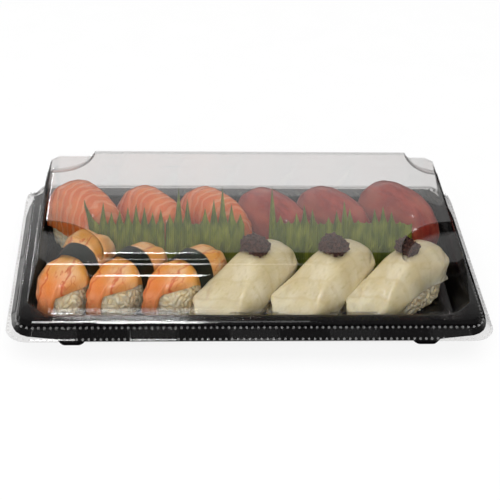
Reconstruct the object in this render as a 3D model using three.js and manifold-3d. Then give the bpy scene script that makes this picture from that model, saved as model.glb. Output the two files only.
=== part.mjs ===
// Takeaway sushi tray: a black tray with a clear pressed-on lid, six pieces of nigiri in each of
// two rows, and a hedge of cut green leaf between the rows.
// Millimetres. +X runs along the tray, +Y to the back, +Z up. The origin is on the ground,
// under the middle of the tray.

import * as THREE from 'three';
import { mergeVertices } from 'three/addons/utils/BufferGeometryUtils.js';
import Module from 'manifold-3d';

const wasm = await Module();
wasm.setup();

// ---- Driving dimensions -------------------------------------------------------------------

const LENGTH = 250;                // over the lid's skirt, along X
const DEPTH = 145;                 // over the lid's skirt, along Y
const HEIGHT = 54;                 // ground to the lid's top panel

const TRAY_WALL = 0.9;             // thickness of the black sheet
const RIM_Z = 20;                  // top face of the tray's rim
const RIM_LIP_SHARE = 0.36;        // the rim's apron ends this share of the way in from the lid's
const RIM_EXTRA_RADIUS = 2;        // how much rounder the rim's corners are than the lid's
const FLOOR_Z = 4.5;               // top face of the tray's floor
const WALL_DRAFT = 5;              // tray's wall leans in by this much from rim to floor

const MOUTH_INSET_X = 10;          // tray's mouth and lid's wall, in from the skirt's ends
const MOUTH_INSET_Y = 14.5;        // the same, in from the skirt's long sides
const CORNER_CUT = 10.5;           // slanted corners of the mouth and of the foot of the lid's wall
const PANEL_CORNER_CUT = 3;        // the same at the top of the lid's wall
const CORNER_SOFTEN = 1.6;         // rounding at both ends of such a corner

const FOOT_X = 92.5;               // middle of a foot
const FOOT_Y = 50.5;
const FOOT_TOP_Z = 8;              // where a foot leaves the bowl
const FOOT_TOP = 23;               // foot's length there
const FOOT_BOTTOM = 12.5;          // foot's length on the ground
const FOOT_DEPTH = 13;             // foot's depth

const LID_WALL = 0.8;              // thickness of the clear sheet
const SEAT_GAP = 0.4;              // clearance between the lid and the rim
const SKIRT_BOTTOM_Z = 13.9;
const SKIRT_RADIUS = 12;           // corners of the apron's edge, in plan
const STEP_RADIUS = 8;             // corners of the step between flange and apron
const STEP_INSET = [5.8, 7.6];     // step's top edge, in from the skirt's, along X and along Y
const APRON_INSET = [5, 6.8];      // step's foot, where the sloping apron starts
const APRON_Z = 17.6;              // height of the step's foot
const PANEL_INSET_X = 18.6;        // top panel's edge, in from the skirt
const PANEL_INSET_Y = 19.6;
const PANEL_FILLET = 2;            // slanted edge between the wall and the panel
const NOTCH_DROP = 5.3;            // depth of the stacking recess at each corner of the panel

// Each recess is a quarter of an oval round its corner of the panel: half axes along X and Y at
// the top, and how much smaller they are at the recess's floor.
const NOTCHES = [
  { signX: -1, signY: -1, x: 31, y: 31, cove: 4 },
  { signX: 1, signY: -1, x: 31, y: 31, cove: 4 },
  { signX: -1, signY: 1, x: 23, y: 21, cove: 7 },
  { signX: 1, signY: 1, x: 15, y: 21, cove: 6 },
];

const LOAF_POWER = 2.7;            // 2 is an ellipsoid, more is boxier
const RICE_PLAN_POWER = 3;         // the same seen from above, for the rice
const DRAPE_PLAN_POWER = 4;        // and for what is draped on it
const FLARE_START = 0.25;          // share of the half length at which a flare starts
const LOAF_Z = 13;                 // middle of a rice block above the ground
const RICE_SEAT_GAP = 0.3;         // between a rice block and the floor
const GRAIN_BUMP = 1.1;            // how deep the rice is pitted between its grains
const DRAPE_GAP = 0.9;             // between the rice and what is draped on it
const DRAPE_LIFT = 0.045;          // share by which a topping's inner face lifts towards its edge
const DRAPE_EDGE_THINNING = 0.45;  // share by which a topping is thinner at its edge
const END_SPREAD = 0.3;            // keeps a topping's ends wide

const BAND_WIDTH = 11;             // black seaweed band round a shrimp piece
const BAND_SHIFT = 1;              // how far it is moved towards the back of the piece
const BAND_OVER_TOP = 0.62;        // share of its length that goes over the top
const BAND_TUCK = 0.07;            // share by which its sides lean in at their foot
const BAND_THICKNESS = 0.4;
const BAND_GAP = 0.35;

const DAB_HALF = { x: 5.6, y: 7.2, z: 5.4 };  // half axes of a dab of paste
const DAB_POWER = 4;               // it is boxy
const DAB_SIDE = 1.5;              // how far its middle is to the left
const DAB_RISE = 1.2;              // how far its middle is above the fish
const DAB_GAP = 0.3;

const LEAF_THICKNESS = 0.45;
const LEAF_FOOT_Z = FLOOR_Z + 0.3;
const LEAF_Y = 1.2;
const LEAF_LEAN = 19;              // how far the tallest blade leans back
const LEAF_LEAN_HEIGHT = 43;       // at this height above its foot
const LEAF_LEAN_POWER = 3;
const LEAF_WAVE = 0.3;             // how far the strip waves to either side
const LEAF_SPLIT = 0.74;           // blades part at this share of the strip's usual height
const LEAF_HEIGHT = 36.6;          // the strip's usual height

// One row each: where its pieces stand, and which way they point.
const FRONT_Y = -24.8;
const BACK_Y = 30;
const BACK_TURN = -38;

const COLOURS = {
  tray: [0x0c0b0d, 0.35],
  lid: [0xdedcda, 0.1],
  rice: [0xe6dfcf, 0.6],
  shrimp: [0xe89a5c, 0.45],
  fish: [0xded2a4, 0.4],
  salmon: [0xe07a48, 0.4],
  tuna: [0xa03a32, 0.4],
  nori: [0x101210, 0.6],
  paste: [0x4a3432, 0.8],
  leaf: [0x3f7a2c, 0.4],
};

// Front row, left to right. a, b and c are the rice block's half length, half width and height
// above its middle; top, side and end say how much the topping adds there. lean is how far, in
// degrees, the topping lies over to the left. dab is the place of the dab of paste along the
// piece and its size.
const FRONT_ROW = [
  {
    kind: 'shrimp', x: -91.8, turn: 25, a: 22.3, b: 9.9, c: 17.4, top: 5.8, side: 1, end: 2.4,
    lean: 4, flare: 0.3,
  },
  {
    kind: 'shrimp', x: -62.9, turn: 35, a: 23.3, b: 9.8, c: 16, top: 5.2, side: 1, end: 2.4,
    lean: 4, flare: 0.2,
  },
  {
    kind: 'shrimp', x: -32, turn: 39, a: 23.5, b: 10, c: 15, top: 4.8, side: 1, end: 2.4,
    lean: 4, flare: 0,
  },
  {
    kind: 'fish', x: 4.4, turn: 42, a: 23.5, b: 12, c: 17, top: 7.4, side: 1.6, end: 3,
    lean: 0, dab: [-1, 1],
  },
  {
    kind: 'fish', x: 46, turn: 44, a: 23.5, b: 12, c: 17, top: 7.6, side: 1.6, end: 3,
    lean: 0, dab: [-1, 1],
  },
  {
    kind: 'fish', x: 86, turn: 44, a: 23.3, b: 12, c: 17, top: 7.6, side: 1.6, end: 3,
    lean: 5, dab: [-3, 0.8],
  },
];

// Back row, left to right.
const BACK_ROW = [
  { kind: 'salmon', x: -88.8, a: 22, b: 13.4, c: 20.5, top: 9, side: 1.4, end: 2.6, lean: 0 },
  { kind: 'salmon', x: -50.5, a: 22.6, b: 11.6, c: 18.5, top: 7.2, side: 1.2, end: 2.6, lean: 0 },
  { kind: 'salmon', x: -16.5, a: 22.2, b: 11.5, c: 18.2, top: 6.8, side: 1.2, end: 2.6, lean: 0 },
  { kind: 'tuna', x: 17, a: 22.8, b: 11.5, c: 17.8, top: 6.4, side: 1.2, end: 2.6, lean: 0 },
  { kind: 'tuna', x: 50.5, a: 22.6, b: 11.6, c: 18.3, top: 7.6, side: 1.2, end: 2.6, lean: 0 },
  { kind: 'tuna', x: 86.8, a: 23.4, b: 12.4, c: 20.5, top: 9, side: 1.4, end: 3, lean: 0 },
];

// How each kind of topping lies on its rice. front, back and side are how far down it comes, in
// degrees from straight up; narrow is its front end's width as a share of its back end's; twist
// turns it on the rice; crease is the depth of the line along its middle; tilt is the share by
// which the piece is higher at its back end and lower at its front end; stretch is the share by
// which its front half is longer; slant is how far its front end turns to face the tray's wall.
const DRAPES = {
  shrimp: {
    front: 104, back: 80, side: 68, narrow: 0.75, twist: -6, crease: 0.25,
    tilt: 0.1, stretch: 0.04, slant: 0.45,
  },
  fish: {
    front: 94, back: 84, side: 79, narrow: 1, twist: 0, crease: 0,
    tilt: 0, stretch: 0.12, slant: 0.75,
  },
  salmon: {
    front: 84, back: 84, side: 76, narrow: 1, twist: 0, crease: 0,
    tilt: 0, stretch: 0, slant: 0,
  },
  tuna: {
    front: 84, back: 84, side: 76, narrow: 1, twist: 0, crease: 0,
    tilt: 0, stretch: 0, slant: 0,
  },
};

// Strips of leaf: the left end, the step between blades, the shift in Y that lets neighbours
// overlap, and each blade's height as a share of the usual one.
const LEAVES = [
  { x: -84.5, step: 4.45, y: -1.1, blades: [1.08, 1.06, 0.95, 0.97, 1.01, 1.04, 1.01, 0.95, 0.98] },
  { x: -44.2, step: 4.8, y: 0, blades: [0.92, 1.2, 1.09, 0.8, 0.99, 1.08, 1.2, 1.03, 0.92] },
  { x: 12, step: 4.4, y: 0, blades: [1.22, 0.9, 0.83, 0.93, 1.02, 0.97, 0.82, 0.88, 0.96, 1.07] },
  { x: 54.5, step: 4.6, y: 0.8, blades: [0.97, 0.84, 0.81, 0.96, 1, 0.94, 0.82, 0.78] },
];

// ---- Solids and meshes --------------------------------------------------------------------

// Merges a geometry's corners by place, so that it is one closed surface.
function weld(geometry) {
  geometry.deleteAttribute('normal');
  geometry.deleteAttribute('uv');
  return mergeVertices(geometry, 1e-4);
}

// A closed geometry as a solid that can be cut and joined.
function solidOf(geometry) {
  const welded = weld(geometry);
  return new wasm.Manifold(new wasm.Mesh({
    numProp: 3,
    vertProperties: new Float32Array(welded.attributes.position.array),
    triVerts: new Uint32Array(welded.index.array),
  }));
}

// A solid back as a geometry.
function geometryOf(solid) {
  const mesh = solid.getMesh();
  const geometry = new THREE.BufferGeometry();
  geometry.setAttribute('position', new THREE.BufferAttribute(mesh.vertProperties, 3));
  geometry.setIndex(new THREE.BufferAttribute(mesh.triVerts, 1));
  return geometry;
}

function meshOf(name, geometry, colour) {
  const [hex, roughness] = COLOURS[colour];
  const material = new THREE.MeshStandardMaterial({ color: hex, roughness, metalness: 0 });
  if (colour === 'lid') {
    material.transparent = true;
    material.opacity = 0.3;
  }
  geometry.computeVertexNormals();
  const mesh = new THREE.Mesh(geometry, material);
  mesh.name = name;
  return mesh;
}

// The same chance values for the same seed.
function chance(seed) {
  const wave = Math.sin(seed * 12.9898 + 4.1414) * 43758.5453;
  return wave - Math.floor(wave);
}

// ---- Outlines and lofts -------------------------------------------------------------------

// A rectangle with round corners, anticlockwise.
function roundedOutline(halfX, halfY, radius, steps) {
  const points = [];
  for (let corner = 0; corner < 4; corner += 1) {
    const signX = corner === 0 || corner === 3 ? 1 : -1;
    const signY = corner < 2 ? 1 : -1;
    for (let step = 0; step <= steps; step += 1) {
      const angle = (corner + step / steps) * (Math.PI / 2);
      points.push([
        signX * (halfX - radius) + radius * Math.cos(angle),
        signY * (halfY - radius) + radius * Math.sin(angle),
      ]);
    }
  }
  return points;
}

// A rectangle with slanted corners whose two ends are softened, anticlockwise.
function cutOutline(halfX, halfY, cut, soften) {
  const slant = soften * Math.SQRT1_2;
  const corner = [
    [halfX, halfY - cut - soften],
    [halfX - slant, halfY - cut + slant],
    [halfX - cut + slant, halfY - slant],
    [halfX - cut - soften, halfY],
  ];
  const mirrored = corner.map(([x, y]) => [-x, y]).reverse();
  const front = [...corner, ...mirrored].map(([x, y]) => [x, -y]).reverse();
  return [...corner, ...mirrored, ...front];
}

// A closed solid through outlines at rising heights. Each outline is convex.
function loft(levels) {
  const count = levels[0].outline.length;
  const positions = levels.flatMap(({ outline, z }) => outline.flatMap(([x, y]) => [x, y, z]));
  const faces = [];
  for (let level = 0; level + 1 < levels.length; level += 1) {
    for (let i = 0; i < count; i += 1) {
      const low = level * count + i;
      const lowNext = level * count + ((i + 1) % count);
      faces.push(low, lowNext, lowNext + count, low, lowNext + count, low + count);
    }
  }
  const top = (levels.length - 1) * count;
  for (let i = 1; i + 1 < count; i += 1) {
    faces.push(0, i + 1, i, top, top + i, top + i + 1);
  }
  const geometry = new THREE.BufferGeometry();
  geometry.setAttribute('position', new THREE.Float32BufferAttribute(positions, 3));
  geometry.setIndex(faces);
  return solidOf(geometry);
}

// ---- Tray ---------------------------------------------------------------------------------

const MOUTH_X = LENGTH / 2 - MOUTH_INSET_X;
const MOUTH_Y = DEPTH / 2 - MOUTH_INSET_Y;
const FLANGE_TOP = RIM_Z + SEAT_GAP + LID_WALL;

// The tray's bowl grown by `grow`, from `bottom` to `top`.
function bowl(grow, bottom, top) {
  const level = (z) => {
    const inset = WALL_DRAFT * (RIM_Z - z) / (RIM_Z - FLOOR_Z) - grow;
    const outline = cutOutline(MOUTH_X - inset, MOUTH_Y - inset, CORNER_CUT, CORNER_SOFTEN);
    return { outline, z };
  };
  return loft([level(bottom), level(top)]);
}

// A foot's taper, shrunk by `shrink`.
function foot(x, y, shrink) {
  const block = (length, z) => {
    const outline = cutOutline(length / 2 - shrink, FOOT_DEPTH / 2 - shrink, 2, 0.5);
    return { outline: outline.map(([px, py]) => [px + x, py + y]), z };
  };
  return loft([block(FOOT_BOTTOM, shrink), block(FOOT_TOP, FOOT_TOP_Z)]);
}

// The flange, its step and the apron that slopes out below it, shrunk by `shrink`. The block
// starts at `from`: 0 is the skirt's edge and 1 the step's foot.
function flangeBlock(shrink, from, extraRadius) {
  const outline = (inset, radius) => roundedOutline(
    LENGTH / 2 - inset[0] - shrink,
    DEPTH / 2 - inset[1] - shrink,
    radius + extraRadius - shrink / 2,
    5,
  );
  const edge = APRON_INSET.map((inset) => inset * from);
  const edgeRadius = SKIRT_RADIUS + (STEP_RADIUS - SKIRT_RADIUS) * from;
  const edgeZ = SKIRT_BOTTOM_Z + (APRON_Z - SKIRT_BOTTOM_Z) * from;
  return loft([
    { outline: outline(edge, edgeRadius), z: edgeZ - shrink },
    { outline: outline(APRON_INSET, STEP_RADIUS), z: APRON_Z - shrink },
    { outline: outline(STEP_INSET, STEP_RADIUS), z: FLANGE_TOP - shrink },
  ]);
}

function tray() {
  const clear = LID_WALL + SEAT_GAP;
  const rim = flangeBlock(clear, RIM_LIP_SHARE, RIM_EXTRA_RADIUS)
    .subtract(flangeBlock(clear + TRAY_WALL, -0.2, RIM_EXTRA_RADIUS));
  let outside = rim.add(bowl(TRAY_WALL, FLOOR_Z - TRAY_WALL, RIM_Z));
  let inside = bowl(0, FLOOR_Z, RIM_Z + 1);
  for (const x of [-FOOT_X, FOOT_X]) {
    for (const y of [-FOOT_Y, FOOT_Y]) {
      outside = outside.add(foot(x, y, 0));
      inside = inside.add(foot(x, y, TRAY_WALL));
    }
  }
  return meshOf('tray', geometryOf(outside.subtract(inside)), 'tray');
}

// ---- Lid ----------------------------------------------------------------------------------

// A stacking recess at one corner of the panel, grown by `grow`: steep, and rounded at its foot.
function notch(shape, grow) {
  const floorZ = HEIGHT - NOTCH_DROP - grow;
  const above = HEIGHT + 5;
  const floorShare = 1 - shape.cove / shape.x;
  const coveAt = (share) => {
    const rise = 1 - Math.cos(share * Math.PI / 2);
    return new THREE.Vector2(floorShare + (1 - floorShare) * share, floorZ + NOTCH_DROP * rise);
  };
  const profile = [
    new THREE.Vector2(0, floorZ),
    coveAt(0),
    coveAt(0.5),
    coveAt(1),
    new THREE.Vector2(1, above),
    new THREE.Vector2(0, above),
  ];
  const lathe = new THREE.LatheGeometry(profile, 32);
  lathe.rotateX(Math.PI / 2);
  lathe.scale(shape.x + grow, shape.y + grow, 1);
  const middleX = LENGTH / 2 - PANEL_INSET_X;
  const middleY = DEPTH / 2 - PANEL_INSET_Y;
  lathe.translate(shape.signX * middleX, shape.signY * middleY, 0);
  return solidOf(lathe);
}

// The lid's dome shrunk by `shrink`, down to `bottom`.
function dome(shrink, bottom) {
  const panelX = LENGTH / 2 - PANEL_INSET_X - shrink;
  const panelY = DEPTH / 2 - PANEL_INSET_Y - shrink;
  const outline = (x, y, cut) => cutOutline(x, y, cut, CORNER_SOFTEN);
  let solid = loft([
    { outline: outline(MOUTH_X - shrink, MOUTH_Y - shrink, CORNER_CUT), z: bottom },
    { outline: outline(panelX + 0.6, panelY + 0.4, PANEL_CORNER_CUT), z: HEIGHT - PANEL_FILLET - shrink },
    { outline: outline(panelX - 1, panelY - 1, PANEL_CORNER_CUT), z: HEIGHT - shrink },
  ]);
  for (const shape of NOTCHES) {
    solid = solid.subtract(notch(shape, shrink));
  }
  return solid;
}

function lid() {
  const outside = flangeBlock(0, 0, 0).add(dome(0, FLANGE_TOP - LID_WALL / 2));
  const inside = flangeBlock(LID_WALL, -0.2, 0).add(dome(LID_WALL, SKIRT_BOTTOM_Z));
  return meshOf('lid', geometryOf(outside.subtract(inside)), 'lid');
}

// ---- Nigiri -------------------------------------------------------------------------------

// How far out a place is in plan on a rounded loaf with these half axes: 1 on its edge.
function planShare(point, axes, planPower) {
  const sum = Math.abs(point.x / axes.a) ** planPower + Math.abs(point.y / axes.b) ** planPower;
  return sum ** (LOAF_POWER / planPower);
}

// Moves a direction out onto a rounded loaf.
function ontoLoaf(direction, axes, planPower) {
  const sum = planShare(direction, axes, planPower)
    + Math.abs(direction.z / axes.c) ** LOAF_POWER;
  return direction.clone().multiplyScalar(sum ** (-1 / LOAF_POWER));
}

// Gives a loaf the shape of its own piece: higher at the back, and at the front flared to the
// right, longer, and slanted so that its end lies along the tray's wall.
function settled(point, piece) {
  const { tilt, stretch, slant } = DRAPES[piece.kind];
  const frontness = Math.max(0, -point.x / piece.a);
  const flare = Math.min(1, Math.max(0, (frontness - FLARE_START) / (1 - FLARE_START)));
  const z = point.z > 0 ? point.z * (1 + tilt * point.x / piece.a) : point.z;
  const y = point.y < 0 ? point.y * (1 + (piece.flare ?? 0) * flare) : point.y;
  const shear = slant * Math.tan((piece.turn ?? 0) * Math.PI / 180);
  const x = point.x - flare * (stretch * piece.a + shear * y);
  return point.set(x, y, z);
}

// Replaces every corner of a welded geometry by what `place` makes of it.
function reshape(geometry, place) {
  const points = geometry.attributes.position;
  const point = new THREE.Vector3();
  for (let i = 0; i < points.count; i += 1) {
    point.fromBufferAttribute(points, i);
    const moved = place(point, i);
    points.setXYZ(i, moved.x, moved.y, moved.z);
  }
  return geometry;
}

// A pressed block of rice, pitted between its grains, with a flat base. X runs along it.
function riceBlock(name, piece, seed) {
  const axes = { a: piece.a, b: piece.b, c: piece.c };
  const geometry = weld(new THREE.BoxGeometry(2, 2, 2, 8, 5, 4));
  const baseZ = FLOOR_Z + RICE_SEAT_GAP - LOAF_Z;
  reshape(geometry, (corner, i) => {
    const direction = corner.clone().set(corner.x * axes.a, corner.y * axes.b, corner.z * axes.c);
    const pit = 1 - GRAIN_BUMP * chance(seed * 97 + i) / axes.b;
    const point = ontoLoaf(direction, axes, RICE_PLAN_POWER).multiplyScalar(pit);
    point.z = Math.max(point.z, baseZ);
    return settled(point, piece);
  });
  return meshOf(name, geometry, 'rice');
}

function grown(axes, top, side, end) {
  return { a: axes.a + end, b: axes.b + side, c: axes.c + top };
}

// The way out from the loaf's middle towards a place on a topping. place runs from -1 at the
// front and right edges to 1 at the back and left ones.
function drapeDirection(place, drape, axes, lean) {
  const radians = Math.PI / 180;
  const frontness = Math.max(0, -place.x);
  const width = 1 - (1 - drape.narrow) * frontness ** 1.5;
  const along = place.x * (place.x < 0 ? drape.front : drape.back) * radians;
  const across = (place.y * width * drape.side + lean) * radians;
  const spread = Math.hypot(Math.cos(along), END_SPREAD) / Math.hypot(1, END_SPREAD);
  const direction = new THREE.Vector3(
    axes.a * Math.sin(along),
    axes.b * Math.tan(across) * spread,
    axes.c * Math.cos(along),
  );
  return direction.applyAxisAngle(new THREE.Vector3(0, 0, 1), drape.twist * radians);
}

// A slice of topping draped over the rice. Its corners are directions from the loaf's middle,
// which an inner and an outer loaf turn into its two faces.
function topping(name, piece) {
  const drape = DRAPES[piece.kind];
  const inner = grown(piece, DRAPE_GAP, DRAPE_GAP, DRAPE_GAP);
  const outer = grown(inner, piece.top, piece.side, piece.end);
  const geometry = weld(new THREE.BoxGeometry(2, 2, 2, 10, 6, 1));
  reshape(geometry, (corner) => {
    const edge = Math.max(Math.abs(corner.x), Math.abs(corner.y));
    const direction = drapeDirection(corner, drape, inner, piece.lean);
    const low = ontoLoaf(direction, inner, DRAPE_PLAN_POWER)
      .multiplyScalar(1 + DRAPE_LIFT * edge ** 4);
    if (corner.z < 0) {
      return settled(low, piece);
    }
    const crease = drape.crease * Math.max(0, 1 - Math.abs(corner.y) * 4);
    const fullness = (1 - DRAPE_EDGE_THINNING * edge ** 8) * (1 - crease);
    const high = ontoLoaf(direction, outer, DRAPE_PLAN_POWER);
    return settled(low.lerp(high, fullness), piece);
  });
  return meshOf(name, geometry, piece.kind);
}

// The seaweed band: an arch over the middle of a shrimp piece, straight down at its sides.
function band(name, piece) {
  const inner = grown(piece, DRAPE_GAP, DRAPE_GAP, DRAPE_GAP);
  const skin = grown(inner, piece.top + BAND_GAP, piece.side + BAND_GAP, piece.end);
  const around = 16;
  const geometry = weld(new THREE.BoxGeometry(2, 2, 2, 2, around, 1));
  const baseZ = FLOOR_Z + RICE_SEAT_GAP - LOAF_Z;
  reshape(geometry, (corner) => {
    const x = BAND_SHIFT + corner.x * BAND_WIDTH / 2;
    const thick = corner.z > 0 ? BAND_THICKNESS : 0;
    const shrink = (1 - Math.abs(x / skin.a) ** LOAF_POWER) ** (1 / LOAF_POWER);
    const b = skin.b * shrink + thick;
    const c = skin.c * shrink + thick;
    const share = Math.min(1, Math.abs(corner.y) / BAND_OVER_TOP);
    const angle = Math.sign(corner.y) * share * Math.PI / 2;
    const roundness = 2 / LOAF_POWER;
    const drop = Math.max(0, Math.abs(corner.y) - BAND_OVER_TOP) / (1 - BAND_OVER_TOP);
    const reachY = b * (1 - BAND_TUCK * drop);
    const y = Math.sign(angle) * reachY * Math.abs(Math.sin(angle)) ** roundness;
    const z = drop > 0 ? baseZ * drop : c * Math.abs(Math.cos(angle)) ** roundness;
    return settled(new THREE.Vector3(x, y, z), piece);
  });
  return meshOf(name, geometry, 'nori');
}

// A coarse dab of dark paste on the highest part of a fish piece.
function pasteDab(name, piece, seed) {
  const inner = grown(piece, DRAPE_GAP, DRAPE_GAP, DRAPE_GAP);
  const skin = grown(inner, piece.top, piece.side, piece.end);
  const [along, size] = piece.dab;
  const half = new THREE.Vector3(DAB_HALF.x, DAB_HALF.y, DAB_HALF.z).multiplyScalar(size);
  const middle = new THREE.Vector3(along, DAB_SIDE, skin.c + DAB_RISE);
  const geometry = weld(new THREE.BoxGeometry(2, 2, 2, 5, 5, 4));
  reshape(geometry, (corner, i) => {
    const lump = 0.9 + 0.2 * chance(seed * 31 + i);
    const sum = corner.toArray().reduce((total, value) => total + Math.abs(value) ** DAB_POWER, 0);
    const rounded = corner.clone().multiplyScalar(lump * sum ** (-1 / DAB_POWER));
    const point = rounded.multiply(half).add(middle);
    const outward = planShare(point, skin, DRAPE_PLAN_POWER);
    const under = skin.c * (1 - outward) ** (1 / LOAF_POWER) + DAB_GAP;
    point.z = Math.max(point.z, under);
    return point;
  });
  return meshOf(name, geometry, 'paste');
}

// One piece of nigiri. The loaf's X is turned to run front to back.
function nigiri(piece, number, y, turn) {
  const group = new THREE.Group();
  group.position.set(piece.x, y, LOAF_Z);
  group.rotation.z = Math.PI / 2 - turn * Math.PI / 180;
  group.add(riceBlock(`rice_${String(number).padStart(2, '0')}`, piece, number));
  const kindNumber = (number - 1) % 3 + 1;
  group.add(topping(`${piece.kind}_${kindNumber}`, piece));
  if (piece.kind === 'shrimp') {
    group.add(band(`nori_band_${kindNumber}`, piece));
  }
  if (piece.kind === 'fish') {
    group.add(pasteDab(`paste_dab_${kindNumber}`, piece, number));
  }
  return group;
}

// ---- Leaf ---------------------------------------------------------------------------------

// A strip of leaf cut into pointed blades, leaning back more and more towards its tips.
function leafStrip(name, leaf) {
  const columns = leaf.blades.length * 2;
  const rows = 2;
  const geometry = weld(new THREE.BoxGeometry(2, 2, 2, columns, 1, rows));
  reshape(geometry, (corner) => {
    const column = Math.round((corner.x + 1) / 2 * columns);
    const isTip = column % 2 === 1;
    const blade = leaf.blades[(column - 1) / 2];
    const height = LEAF_HEIGHT * (isTip ? blade : LEAF_SPLIT);
    const rise = height * (corner.z + 1) / 2;
    const x = leaf.x + column * leaf.step / 2;
    const lean = LEAF_LEAN * (rise / LEAF_LEAN_HEIGHT) ** LEAF_LEAN_POWER;
    const wave = LEAF_WAVE * Math.sin(x * 0.9);
    const y = LEAF_Y + leaf.y + lean + wave + corner.y * LEAF_THICKNESS / 2;
    return new THREE.Vector3(x, y, LEAF_FOOT_Z + rise);
  });
  return meshOf(name, geometry, 'leaf');
}

// ---- The whole ----------------------------------------------------------------------------

const sushiTray = new THREE.Group();
sushiTray.add(tray(), lid());
FRONT_ROW.forEach((piece, i) => {
  sushiTray.add(nigiri(piece, i + 1, FRONT_Y, piece.turn));
});
BACK_ROW.forEach((piece, i) => {
  sushiTray.add(nigiri(piece, i + 7, BACK_Y, BACK_TURN));
});
LEAVES.forEach((leaf, i) => {
  sushiTray.add(leafStrip(`leaf_${i + 1}`, leaf));
});

export default sushiTray;
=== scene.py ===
# %% [markdown]
# # A takeaway sushi tray
#
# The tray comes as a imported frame: every solid is already in its place, in metres, with +X
# along the tray, +Y to the back and +Z up. This lesson dresses that frame. The clear lid is
# modelled anew as a thin sheet, the food gets real grains, fibres and fat lines, and the light
# is arranged so that clear plastic reads as plastic.

import math

import bmesh
import bpy
import numpy as np
from mathutils import Matrix, Vector


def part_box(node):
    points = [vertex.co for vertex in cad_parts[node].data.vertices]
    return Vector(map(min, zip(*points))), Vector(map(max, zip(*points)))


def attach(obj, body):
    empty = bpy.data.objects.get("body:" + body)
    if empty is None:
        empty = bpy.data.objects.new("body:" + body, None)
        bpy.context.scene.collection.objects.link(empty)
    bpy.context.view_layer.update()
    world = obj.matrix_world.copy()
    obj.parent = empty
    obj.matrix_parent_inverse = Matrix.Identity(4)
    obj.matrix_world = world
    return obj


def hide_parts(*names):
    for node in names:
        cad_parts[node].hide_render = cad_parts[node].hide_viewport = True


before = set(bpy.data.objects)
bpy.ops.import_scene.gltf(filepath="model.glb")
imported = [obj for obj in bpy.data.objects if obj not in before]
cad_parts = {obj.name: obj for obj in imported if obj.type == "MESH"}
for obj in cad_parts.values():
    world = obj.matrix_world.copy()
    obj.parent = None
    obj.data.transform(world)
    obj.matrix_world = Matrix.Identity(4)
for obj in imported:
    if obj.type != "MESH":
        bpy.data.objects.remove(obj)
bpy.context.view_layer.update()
MM = 0.001
print("nodes in the frame:", len(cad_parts))

# %% [markdown]
# ## Helpers for modelling
#
# Every operator acts on what is selected, so each piece starts with nothing selected, and
# faces or edges are then picked by where they are. A helper for that keeps the cells short.


# %% Selecting and editing
def only(piece):
    """Makes a piece the single selected and active object."""
    bpy.ops.object.select_all(action="DESELECT")
    piece.select_set(True)
    bpy.context.view_layer.objects.active = piece
    return piece


def edit(piece, selected=False):
    """Opens a piece in edit mode with all of it selected, or nothing."""
    only(piece)
    bpy.ops.object.mode_set(mode="EDIT")
    bpy.ops.mesh.select_all(action="SELECT" if selected else "DESELECT")


def leave():
    bpy.ops.object.mode_set(mode="OBJECT")


def pick(test, kind="faces"):
    """Selects the faces or edges of the piece in edit mode that pass a test."""
    bpy.ops.mesh.select_all(action="DESELECT")
    mesh = bpy.context.object.data
    shape = bmesh.from_edit_mesh(mesh)
    shape.normal_update()
    bpy.ops.mesh.select_mode(type="FACE" if kind == "faces" else "EDGE")
    found = [part for part in getattr(shape, kind) if test(part)]
    for part in found:
        part.select_set(True)
    bmesh.update_edit_mesh(mesh)
    return len(found)


def cut_selected(axis, place):
    """Cuts what is selected straight across an axis."""
    point, normal = Vector((0, 0, 0)), Vector((0, 0, 0))
    point[axis], normal[axis] = place, 1
    bpy.ops.mesh.bisect(plane_co=point, plane_no=normal)


def apply(piece, kind, **settings):
    """Adds a modifier to a piece and applies it."""
    only(piece)
    modifier = piece.modifiers.new(kind.title(), kind)
    for name, value in settings.items():
        setattr(modifier, name, value)
    bpy.ops.object.modifier_apply(modifier=modifier.name)


def smooth(piece, angle=40):
    only(piece)
    bpy.ops.object.shade_smooth_by_angle(angle=math.radians(angle))


def join(pieces, name):
    """Joins pieces into the first one, which takes the name."""
    bpy.ops.object.select_all(action="DESELECT")
    for piece in pieces:
        piece.select_set(True)
    bpy.context.view_layer.objects.active = pieces[0]
    bpy.ops.object.join()
    pieces[0].name = name
    return pieces[0]


SAME_POINT = 0.002 * MM            # corners nearer than this are one corner


def copy_of(node, name):
    """A new piece from a copy of a CAD node, with its loose triangles merged."""
    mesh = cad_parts[node].data.copy()
    mesh.materials.clear()
    piece = bpy.data.objects.new(name, mesh)
    bpy.context.scene.collection.objects.link(piece)
    only(piece)
    if mesh.has_custom_normals:
        bpy.ops.mesh.customdata_custom_splitnormals_clear()
    edit(piece, selected=True)
    bpy.ops.mesh.remove_doubles(threshold=SAME_POINT)
    leave()
    return piece


def points_of(piece):
    points = np.empty(len(piece.data.vertices) * 3)
    piece.data.vertices.foreach_get("co", points)
    return points.reshape(-1, 3)


def normals_of(piece):
    normals = np.empty(len(piece.data.vertices) * 3)
    piece.data.vertices.foreach_get("normal", normals)
    return normals.reshape(-1, 3)


def set_points(piece, points):
    piece.data.vertices.foreach_set("co", points.ravel())
    piece.data.update()


# Places along Y in millimetres, and where each of them is moved to.
BACK_FROM = (-80, 60, 65, 66, 72.5)
BACK_TO = (-80, 60, 71, 71.4, 72.5)


def widen_back(piece):
    """Draws the flange's back edge out, since the flange is wider at the back."""
    points = points_of(piece)
    points[:, 1] = np.interp(points[:, 1] / MM, BACK_FROM, BACK_TO) * MM
    set_points(piece, points)


def shade_all_smooth(piece):
    piece.data.polygons.foreach_set("use_smooth", [True] * len(piece.data.polygons))


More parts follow.
